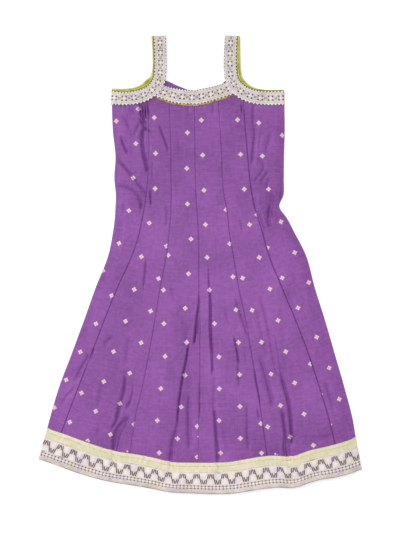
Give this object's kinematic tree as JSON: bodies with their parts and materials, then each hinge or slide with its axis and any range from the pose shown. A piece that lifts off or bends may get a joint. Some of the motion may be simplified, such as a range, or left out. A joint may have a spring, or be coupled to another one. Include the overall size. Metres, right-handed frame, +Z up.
{
  "type": "sleeveless panelled kurta",
  "caption": "Child's sleeveless A-line kurta laid flat: flared purple panels with woven motifs, lace-trimmed straps, neck and armholes, and a gold band with a lace border at the hem.",
  "frame": {"origin": "under the middle of the outline, on the surface the garment lies on", "axes": "+X to the right of someone looking down at its front, +Y from the hem to the shoulders, +Z up out of the front"},
  "size_m": [0.5826, 0.8263, 0.0099],
  "materials": {
    "purple_cloth": "plain-weave silk blend with a slight sheen, fine crosswise slubs and small woven pinkish motifs",
    "silver_lace": "silvery lace tape with pinkish white cross threads and small dark eyelets",
    "lime_satin": "lime green satin, turned and pressed",
    "gold_piping": "dull gold cord",
    "gold_band": "pale gold-green metallic weave, finely ribbed across"
  },
  "bodies": {
    "root": {"front_side_panel_left": "purple_cloth", "front_mid_panel_left": "purple_cloth", "front_centre_panel_left": "purple_cloth", "front_centre_panel_right": "purple_cloth", "front_mid_panel_right": "purple_cloth", "front_side_panel_right": "purple_cloth", "front_strap_left": "purple_cloth", "front_strap_right": "purple_cloth", "front_hem_band": "gold_band", "front_hem_lace": "silver_lace", "back_side_panel_left": "purple_cloth", "back_mid_panel_left": "purple_cloth", "back_centre_panel_left": "purple_cloth", "back_centre_panel_right": "purple_cloth", "back_mid_panel_right": "purple_cloth", "back_side_panel_right": "purple_cloth", "back_strap_left": "purple_cloth", "back_strap_right": "purple_cloth", "back_hem_band": "gold_band", "back_hem_lace": "silver_lace", "armhole_lace_left": "silver_lace", "armhole_piping_left": "lime_satin", "armhole_facing_left": "lime_satin", "armhole_lace_right": "silver_lace", "armhole_piping_right": "lime_satin", "armhole_facing_right": "lime_satin", "neck_lace": "silver_lace", "neck_piping": "gold_piping"}
  },
  "joints": []
}
